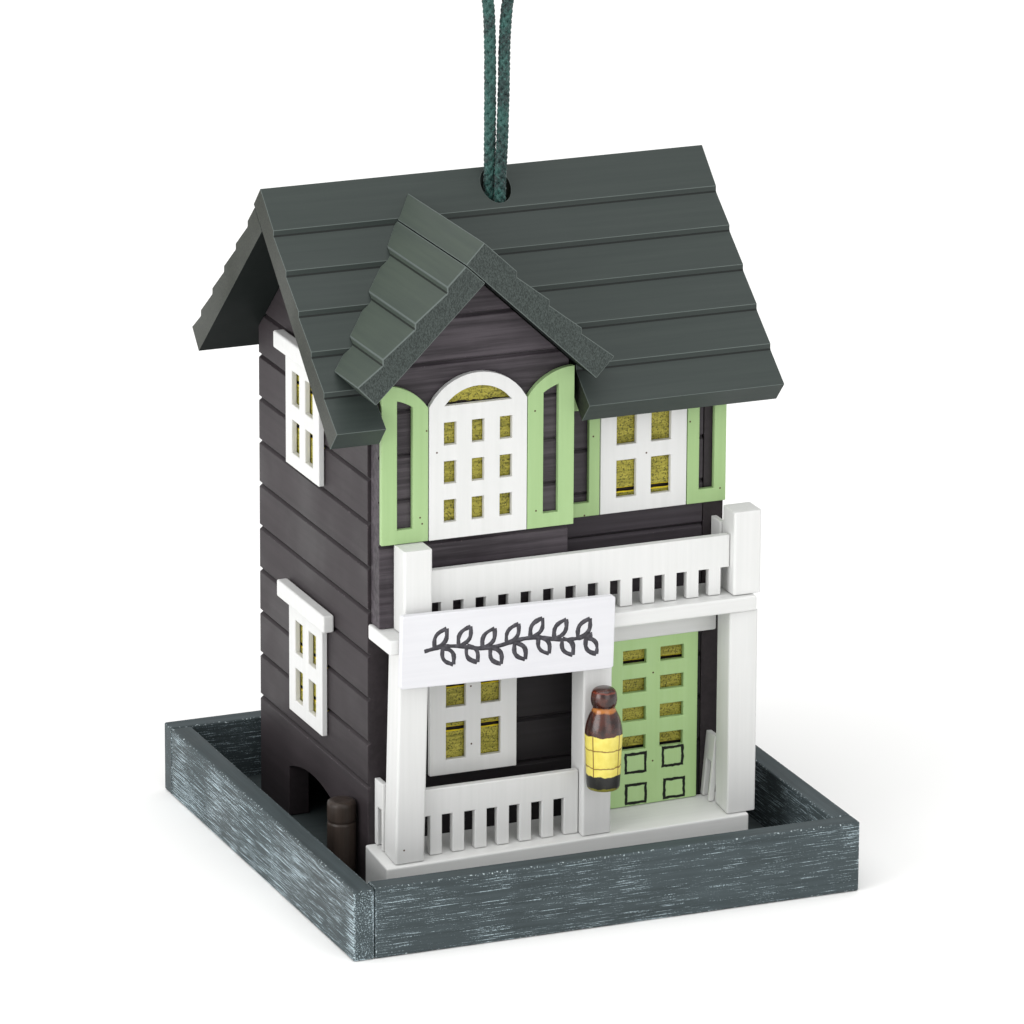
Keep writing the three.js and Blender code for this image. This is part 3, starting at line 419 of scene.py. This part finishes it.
for node, along, amount in (("tray_board_left", "y", 0.018), ("tray_board_right", "y", 0.01),
                            ("tray_board_front", "x", -0.01), ("tray_board_back", "x", -0.01)):
    slate, tree, surface, colour, place = wood_finish(
        node + "_paint", "#2e3638", "#475154", along, gloss=0.55, relief=0.0001, worn="#b9c5c8", wear=0.3)
    brush_dry(tree, surface, colour, place, along, "#b4c6cd", *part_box(node), amount)
    sanded(node, slate, arris=0.0007, rounds=3, grain=along)
slate_floor = wood_finish("tray_floor_paint", "#2f3637", "#404849", "x", gloss=0.6)[0]
sanded("tray_floor", slate_floor, arris=0.0002, rounds=1, grain="x")


# ---- Walls ---------------------------------------------------------------------------------
# Solid boards with V grooves cut across them to look like planks, stained a dark violet brown.
# The side walls run up into the gables. Behind each window the wall is painted olive yellow,
# and the front wall is drawn much darker inside the porch as painted shade from the balcony.

def either(tree, first, second):
    """The greater of two values."""
    return put(tree, "Math", {0: first, 1: second}, operation="MAXIMUM")


def away_from(tree, value, middle):
    """How far a value is from a middle, either way."""
    return put(tree, "Math", {0: plus(tree, value, -middle)}, operation="ABSOLUTE")


def band(tree, value, low, high, soft=0.0002):
    """1 where a value lies between two limits, 0 outside."""
    half = (high - low) / 2
    return spread(tree, away_from(tree, value, (low + high) / 2), half - soft, half + soft, 1.0, 0.0)


def light_panes(tree, surface, colour, place, face, facing, areas, arch=None):
    """Olive yellow paint over the stained face inside some areas, each a low and a high corner,
    and inside an arch: its middle, its radius and the height it starts at. The paint stops at the
    grooves, where a bright line of it lies along each edge and the bare groove is drawn near black,
    darker than the stain, as painted shade. It stops unevenly just above the arch's foot, where a
    ragged near-black line is painted shadow."""
    wander = put(tree, "TexNoise", {"Vector": place, "Scale": 300.0, "Detail": 2.0})
    parts = put(tree, "SeparateXYZ", {0: place}).node.outputs
    across, deep = ("X", "Y") if facing == "y" else ("Y", "X")
    painted = None
    for low, high in areas:
        flat = times(tree, band(tree, parts[across], low[0], high[0]),
                     band(tree, parts["Z"], low[1], high[1]))
        painted = flat if painted is None else either(tree, painted, flat)
    if arch:
        middle, radius, start = arch
        level = put(tree, "Math", {0: plus(tree, parts[across], -middle[0]), 1: 2.0}, operation="POWER")
        rise = put(tree, "Math", {0: plus(tree, parts["Z"], -middle[1]), 1: 2.0}, operation="POWER")
        reach = put(tree, "Math", {0: plus(tree, level, rise)}, operation="SQRT")
        disc = times(tree, spread(tree, reach, radius - 0.0002, radius, 1.0, 0.0),
                     spread(tree, parts["Z"], start - 0.0002, start))
        painted = either(tree, painted, disc)
        arch_foot_shadow_edge = plus(tree, parts["Z"], times(tree, wander, -0.002))
    depth = away_from(tree, parts[deep], face)
    drawn = put(tree, "VectorMath", {0: place, 1: (120, 120, 1000)}, operation="MULTIPLY")
    strokes = put(tree, "TexNoise", {"Vector": drawn, "Scale": 1.0, "Detail": 7.0, "Roughness": 0.7})
    specks = put(tree, "TexNoise", {"Vector": place, "Scale": 1500.0, "Detail": 3.0, "Roughness": 0.7})
    olive = blend(tree, spread(tree, strokes, 0.36, 0.62), paint("#7f7a2c"), paint("#aca345"))
    olive = blend(tree, spread(tree, specks, 0.5, 0.62, 0.0, 0.8), olive, paint("#2f2e18"))
    olive = blend(tree, spread(tree, depth, 0.00001, 0.00015), olive, paint("#e3cb2a"))
    # Painted shade: the bare groove behind the paint is drawn near black, darker than the stain.
    groove_shade_depth = plus(tree, depth, times(tree, wander, 0.0005))
    olive = blend(tree, spread(tree, groove_shade_depth, 0.0006, 0.0008), olive, paint("#1d1614"))
    # Painted shadow: a ragged near-black line just above the arch's foot.
    if arch:
        bare = times(tree, disc, spread(tree, arch_foot_shadow_edge, start + 0.0004, start + 0.0006, 1.0, 0.0))
        olive = blend(tree, bare, olive, paint("#1d1614"))
    tree.links.new(blend(tree, painted, colour, olive), surface.inputs["Base Color"])


def behind(node, facing, rows=None):
    """The part of a wall behind a window or door, or behind some of its height, as two corners."""
    trim = 0.001
    low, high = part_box(node)
    first, second = ((low.x, high.x) if facing == "y" else (low.y, high.y))
    bottom, top = (low.z, high.z) if rows is None else rows
    return (first + trim, bottom + trim), (second - trim, top - trim)


wall_stain = {"gloss": 0.5, "relief": 0.00007, "worn": "#5d5458", "wear": 0.2, "even": 0.3}
front_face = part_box("wall_front")[0].y
door_low, door_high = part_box("door")
door_lights = (door_low.z + 0.022, door_high.z - 0.002)
porch_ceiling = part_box("balcony_floor")[0].z
for node, along, facing, face, shades, areas in (
    ("wall_front", "x", "y", front_face, ("#2f2a2e", "#494449"),
     [behind("window_porch", "y"), behind("window_upper_right", "y"),
      behind("door", "y", rows=door_lights)]),
    ("wall_back", "x", "y", 0.0, ("#272325", "#383235"), []),
    ("wall_left", "y", "x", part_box("wall_left")[0].x, ("#272325", "#383235"),
     [behind("window_left_lower", "x"), behind("window_left_upper", "x")]),
    ("wall_right", "y", "x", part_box("wall_right")[1].x, ("#272325", "#383235"),
     [behind("window_right_lower", "x"), behind("window_right_upper", "x")]),
):
    stained, tree, surface, colour, place = wood_finish(node + "_stain", *shades, along, **wall_stain)
    if node == "wall_front":
        # Painted shade: the front wall is drawn nearly black below the balcony floor, where the porch
        # keeps the light off it.
        above = put(tree, "SeparateXYZ", {0: place}).node.outputs["Z"]
        porch = spread(tree, above, porch_ceiling - 0.002, porch_ceiling + 0.002, 0.78, 0.0)
        colour = blend(tree, porch, colour, paint("#0b0a0a"))
        tree.links.new(colour, surface.inputs["Base Color"])
    if areas:
        light_panes(tree, surface, colour, place, face, facing, areas)
    sanded(node, stained, arris=0.00025, rounds=2, grain=along, shaded_crease=0.0003)


# ---- Bay -----------------------------------------------------------------------------------
# A second grooved board on the upper front wall, with a gable that fills the dormer. The wood
# grain is coarser here and shows through the stain.

arch_low, arch_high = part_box("window_arched")
arch_half, arch_rise = (arch_high.x - arch_low.x) / 2, 0.0115
arch_radius = (arch_half ** 2 + arch_rise ** 2) / (2 * arch_rise)
arch_middle = ((arch_low.x + arch_high.x) / 2, arch_high.z - arch_radius)
bay_stain, tree, surface, colour, place = wood_finish(
    "bay_stain", "#2d282c", "#514b50", "x", gloss=0.5, relief=0.0002, worn="#5d5458", wear=0.2,
    even=0.14)
light_panes(tree, surface, colour, place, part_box("bay_front")[0].y, "y",
            [behind("window_arched", "y", rows=(arch_low.z, arch_high.z - arch_rise))],
            arch=(arch_middle, arch_radius - 0.001, arch_high.z - arch_rise - 0.001))
sanded("bay_front", bay_stain, arris=0.00025, rounds=2, grain="x", shaded_crease=0.0003)


# ---- Roof ----------------------------------------------------------------------------------
# Two thick boards stepped in courses like weatherboarding, and two shorter ones over the bay.
# Painted dark grey green; the lower edge of each course is rubbed and carries a painted highlight,
# the inner corner below it a painted shade line, the undersides a painted shade, and the sawn ends
# are rough.
# The bare pine bar that the rope is tied to stands between the gables below them.

# On the roof the worn colour lies almost all along the arrises: rubbed paint, and a painted highlight on
# each course edge. The under colour is painted shade.
roof_colours = {"gloss": 0.48, "relief": 0.00004, "worn": "#5a625f", "wear": 1.5, "even": 0.35,
                "under": "#1f2322"}
roof_green = wood_finish("roof_green", "#313836", "#3b423f", "x", sawn=("#1b1f1c", "#34382e"),
                         **roof_colours)[0]
for node in ("roof_front", "roof_back"):
    sanded(node, roof_green, arris=0.0004, rounds=2, grain="x", shaded_crease=0.0004)
dormer_green = wood_finish("dormer_green", "#3b433f", "#495249", "y", sawn=("#272d2b", "#454d4a"),
                           **roof_colours)[0]
for node in ("dormer_left", "dormer_right"):
    sanded(node, dormer_green, arris=0.0004, rounds=2, grain="y", shaded_crease=0.0004)

pine = wood_finish("bare_pine", "#a98652", "#cdae7c", "x", gloss=0.7, relief=0.0001, even=0.12)[0]
sanded("rope_bar", pine, arris=0.0005, grain="x")


# ---- Porch and balcony ---------------------------------------------------------------------
# White satin paint over softwood: a thick base, a thinner balcony floor and square posts with
# small chamfers. The grain shows faintly through the paint, and so do the heads of a few pins.

def pinned(tree, surface, colour, place, heads):
    """Small dark rusty dots where pin heads show through the paint, at places in millimetres."""
    reach, soft = 0.00025, 0.0002
    for head in heads:
        middle = [step / 1000 for step in head]
        away = put(tree, "VectorMath", {0: place, 1: middle}, operation="DISTANCE")
        near = spread(tree, away.node.outputs["Value"], reach, reach + soft, 1.0, 0.0)
        colour = blend(tree, near, colour, paint("#4a2f22"))
    tree.links.new(colour, surface.inputs["Base Color"])


front_of = {name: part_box(node)[0].y * 1000 for name, node in (
    ("bay", "window_arched"), ("wall", "window_porch"), ("post", "porch_post_left"),
    ("floor", "balcony_floor"))}
white_flat = {"dark": "#cecfcd", "light": "#dadad9", "gloss": 0.42, "relief": 0.00002, "even": 0.35}
white_level, *shader = wood_finish("white_paint_level", along="x", **white_flat)
pinned(*shader, [(37.6, front_of["floor"], 98.9)])
white_upright, *shader = wood_finish("white_paint_upright", along="z", **white_flat)
pinned(*shader, [
    (-47.9, front_of["bay"], 171.1), (38.3, front_of["wall"], 159.1), (-30.9, front_of["wall"], 77.4),
    (-30.6, front_of["wall"], 55.0), (-64.3, front_of["post"], 23.9),
])
for node in ("porch_base", "balcony_floor"):
    sanded(node, white_level, arris=0.0007, rounds=3, grain="x")
for node in ("porch_post_left", "porch_post_middle", "porch_post_right",
             "balcony_post_left", "balcony_post_right"):
    sanded(node, white_upright, arris=0.0004, rounds=2)


# ---- Railings ------------------------------------------------------------------------------
# Sawn from thin white-painted ply, with slots cut up from the lower edge between the bars.

for node in ("porch_railing_front", "porch_railing_left", "porch_railing_right",
             "balcony_railing_front", "balcony_railing_right"):
    sanded(node, white_upright, arris=0.00035)


# ---- Windows, lintels and door head --------------------------------------------------------
# White-painted ply frames glued and pinned over the painted patches, each on the side walls
# under a thick white lintel.

for node in ("window_arched", "window_porch", "window_upper_right", "window_left_lower",
             "window_left_upper", "window_right_lower", "window_right_upper"):
    sanded(node, white_upright, arris=0.0003)
for node in ("lintel_left_lower", "lintel_left_upper", "lintel_right_lower", "lintel_right_upper",
             "door_header"):
    sanded(node, white_level, arris=0.0007, rounds=3)


# ---- Shutters ------------------------------------------------------------------------------
# Flat pale green ply panels with one long slot, pinned on beside the arched window on the bay
# and beside the upper window next to it.

shutter_look = {"gloss": 0.45, "relief": 0.00003, "worn": "#86a26b", "wear": 0.25, "even": 0.35}
pale_green, *shader = wood_finish("pale_green_paint", "#93b07b", "#9fbb87", "z", **shutter_look)
pinned(*shader, [
    (-51.9, front_of["bay"], 179.8), (-54.4, front_of["bay"], 147.3), (-53.6, front_of["bay"], 144.9),
    (-9.6, front_of["bay"], 182.7), (-9.0, front_of["bay"], 144.7),
])
leaf_green, *shader = wood_finish("leaf_green_paint", "#94b17a", "#a0bc86", "z", **shutter_look)
pinned(*shader, [
    (17.1, front_of["wall"], 167.7), (13.8, front_of["wall"], 137.8), (55.7, front_of["wall"], 169.1),
    (68.1, front_of["wall"], 142.2),
])
for node in ("shutter_bay_left", "shutter_bay_right"):
    sanded(node, pale_green, arris=0.0003)
for node in ("shutter_upper_left", "shutter_upper_right"):
    sanded(node, leaf_green, arris=0.0003)


# ---- Door ----------------------------------------------------------------------------------
# A leaf green panel with eight sawn lights above, and four small squares drawn below them in
# black with a fine brush.

door_paint, tree, surface, colour, place = wood_finish(
    "door_paint", "#a3c285", "#aecb93", "z", **shutter_look)
square_middles = ((35.5, 26.9), (51.0, 27.3), (35.3, 39.0), (50.3, 39.9))  # millimetres across and up
square_inside, square_outside, square_flatter = 0.0034, 0.0045, 0.0004
wobble = put(tree, "TexNoise", {"Vector": place, "Scale": 420.0, "Detail": 2.0}).node.outputs["Color"]
shaken = put(tree, "VectorMath", {0: wobble, 1: (0.5, 0.5, 0.5)}, operation="SUBTRACT")
shaken = put(tree, "VectorMath", {0: shaken, 1: (0.0009, 0.0009, 0.0009)}, operation="MULTIPLY")
shaken = put(tree, "VectorMath", {0: place, 1: shaken}, operation="ADD")
parts = put(tree, "SeparateXYZ", {0: shaken}).node.outputs
drawn_lines = None
for middle_x, middle_z in square_middles:
    across = away_from(tree, parts["X"], middle_x / 1000)
    up = away_from(tree, parts["Z"], middle_z / 1000)
    ring = either(tree, across, plus(tree, up, square_flatter))
    line = band(tree, ring, square_inside, square_outside, 0.00012)
    drawn_lines = line if drawn_lines is None else either(tree, drawn_lines, line)
colour = blend(tree, drawn_lines, colour, paint("#171b15"))
pinned(tree, surface, colour, place, [(42.0, front_of["wall"], 73.6), (42.2, front_of["wall"], 39.0)])
sanded("door", door_paint, arris=0.0003)


# ---- Sign ----------------------------------------------------------------------------------
# A white board pinned across the porch, with a garland of leaves drawn on it in dark paint.

sign_white = wood_finish("sign_white", "#cfcfd3", "#dadadd", "x", gloss=0.4, relief=0.00002, even=0.35)[0]
sanded("sign_board", sign_white, arris=0.0004, grain="x")
sign_low, sign_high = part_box("sign_board")
brush_black, tree, surface, place = new_finish("brush_black")
dabs = put(tree, "TexNoise", {"Vector": place, "Scale": 700.0, "Detail": 4.0})
tree.links.new(blend(tree, spread(tree, dabs, 0.4, 0.7), paint("#2b2930"), paint("#45434a")),
               surface.inputs["Base Color"])
surface.inputs["Roughness"].default_value = 0.55
rough(tree, surface, dabs, 0.5, 0.0002)


def leaf(root, lean, length):
    """Two bowed strokes that meet at the tip, as (x, z) steps from the root."""
    sides = []
    for bow in (0.26, -0.26):
        line = []
        for i in range(9):
            t = i / 8
            along, off = t * length, bow * length * sin(pi * t)
            line.append((root[0] + along * cos(lean) - off * sin(lean),
                         root[1] + along * sin(lean) + off * cos(lean)))
        sides.append(line)
    return sides


def stem(x):
    """A point on the wavy stem."""
    return x, 1.1 * sin(x / 5.2)


stem_reach, leaf_pairs, leaf_spacing, leaf_lean = 33, 7, 9.4, radians(58)
strokes = [[stem(x) for x in range(-stem_reach, stem_reach + 1)]]
for number in range(leaf_pairs):
    root = stem(-29 + number * leaf_spacing)
    strokes += leaf(root, leaf_lean, 8.4)
    strokes += leaf((root[0] + 3.2, root[1]), -leaf_lean, 8.0)
sign_turn = Matrix.Rotation(radians(1.3), 4, "Y")
sign_middle = (sign_low + sign_high) / 2
lines = []
for stroke in strokes:
    line = []
    for x, z in stroke:
        girth = 0.75 + 0.3 * noise.noise(Vector((x * 0.5, z * 0.5, 3)))
        flat = sign_turn @ Vector((x / 1000, 0, z / 1000))
        line.append((Vector((sign_middle.x, sign_low.y, sign_middle.z)) + flat, girth))
    lines.append(line)
stroke_width, paint_share = 0.0025, 0.09  # the paint's thickness as a share of a stroke's width
garland = strand_curve("sign_garland", lines, stroke_width)
squeeze = Matrix.Translation((0, sign_low.y, 0)) @ Matrix.Scale(paint_share, 4, (0, 1, 0)) @ (
    Matrix.Translation((0, -sign_low.y, 0)))
garland.data.transform(squeeze)
garland.data.materials.append(brush_black)
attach(garland, "house")


# ---- Lantern -------------------------------------------------------------------------------
# Turned from one piece of wood and pinned to the middle post. The top is dark glossy brown, the
# belly a yellow band with thin brown lines, and the foot black.

def turned(node, profile, finish, name):
    """A piece turned on a lathe, from (share of the radius, share of the height)."""
    low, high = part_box(node)
    middle, radius, height = (low + high) / 2, (high.x - low.x) / 2, high.z - low.z
    shape = bmesh.new()
    ring = [shape.verts.new((middle.x + r * radius, middle.y, low.z + h * height)) for r, h in profile]
    rims = [shape.edges.new(pair) for pair in zip(ring, ring[1:])]
    bmesh.ops.spin(shape, geom=ring + rims, cent=(middle.x, middle.y, 0), axis=(0, 0, 1),
                   angle=2 * pi, steps=48, use_merge=True)
    bmesh.ops.remove_doubles(shape, verts=shape.verts, dist=1e-6)
    bmesh.ops.recalc_face_normals(shape, faces=shape.faces)
    mesh = bpy.data.meshes.new(name)
    shape.to_mesh(mesh)
    shape.free()
    mesh.shade_smooth()
    mesh.materials.append(finish)
    piece = bpy.data.objects.new(name, mesh)
    bpy.context.scene.collection.objects.link(piece)
    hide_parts(node)
    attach(piece, bodies[node])


lantern_low, lantern_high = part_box("lantern")
lantern_middle = (lantern_low + lantern_high) / 2
lantern_tall = lantern_high.z - lantern_low.z
lantern_paint, tree, surface, place = new_finish("lantern_paint")
centred = put(tree, "VectorMath", {0: place, 1: (lantern_middle.x, lantern_middle.y, lantern_low.z)},
              operation="SUBTRACT")
ragged = put(tree, "TexNoise", {"Vector": place, "Scale": 380.0, "Detail": 3.0})
ragged = times(tree, plus(tree, ragged, -0.5), 0.0016)
parts = put(tree, "SeparateXYZ", {0: centred}).node.outputs
rise = put(tree, "Math", {0: plus(tree, parts["Z"], ragged), 1: lantern_tall}, operation="DIVIDE")
streaks = put(tree, "TexNoise", {"Vector": place, "Scale": 330.0, "Detail": 5.0})
brown = blend(tree, spread(tree, streaks, 0.35, 0.72), paint("#24100d"), paint("#4c2419"))
colour = blend(tree, band(tree, rise, 0.775, 0.815, 0.012), brown, paint("#a8672a"))
colour = blend(tree, band(tree, rise, 0.966, 0.978, 0.008), colour, paint("#6e2c1a"))
yellow = blend(tree, spread(tree, streaks, 0.3, 0.7), paint("#dccb58"), paint("#e6d86c"))
angle = put(tree, "Math", {0: parts["Y"], 1: parts["X"]}, operation="ARCTAN2")
turns = plus(tree, times(tree, angle, 4 / (2 * pi)), 20.14)
wire = band(tree, put(tree, "Math", {0: turns}, operation="FRACT"), 0.478, 0.522, 0.01)
for share in (0.235, 0.41):
    wire = either(tree, wire, band(tree, rise, share - 0.006, share + 0.006, 0.004))
yellow = blend(tree, wire, yellow, paint("#7d5c22"))
colour = blend(tree, spread(tree, rise, 0.545, 0.555), yellow, colour)
black = blend(tree, spread(tree, streaks, 0.5, 0.75), paint("#131311"), paint("#2c2b25"))
black = blend(tree, spread(tree, rise, 0.015, 0.03), paint("#7d7a2c"), black)
colour = blend(tree, spread(tree, rise, 0.145, 0.155), black, colour)
tree.links.new(colour, surface.inputs["Base Color"])
tree.links.new(spread(tree, rise, 0.54, 0.55, 0.5, 0.22), surface.inputs["Roughness"])
surface.inputs["Coat Weight"].default_value = 0.3
surface.inputs["Coat Roughness"].default_value = 0.2
rough(tree, surface, streaks, 0.4, 0.0003)
turned("lantern", [
    (0, 0), (0.82, 0), (0.86, 0.01), (0.88, 0.04), (0.91, 0.15), (0.95, 0.36), (0.985, 0.46),
    (1.0, 0.54), (0.99, 0.58), (0.95, 0.63), (0.88, 0.68), (0.78, 0.73), (0.68, 0.765),
    (0.61, 0.79), (0.59, 0.805), (0.6, 0.82), (0.66, 0.84), (0.69, 0.865), (0.7, 0.89),
    (0.69, 0.92), (0.66, 0.95), (0.6, 0.975), (0.52, 0.99), (0.4, 1.0), (0, 1.0),
], lantern_paint, "lantern_turning")


# ---- Barrel --------------------------------------------------------------------------------
# A small turned barrel with one groove below its top, stained dark brown and glued to the foot
# of the left wall.

barrel_paint = wood_finish("barrel_paint", "#29231f", "#3e3530", "z", gloss=0.36, relief=0.0001,
                           even=0.2)[0]
turned("barrel", [
    (0, 0), (0.94, 0), (1.0, 0.015), (1.0, 0.35), (1.0, 0.7), (0.985, 0.716), (0.93, 0.726),
    (0.92, 0.734), (0.93, 0.742), (0.985, 0.752), (1.0, 0.77), (1.0, 0.94), (0.985, 0.965),
    (0.94, 0.985), (0.88, 0.992), (0.84, 1.0), (0.6, 1.0), (0, 1.0),
], barrel_paint, "barrel_turning")
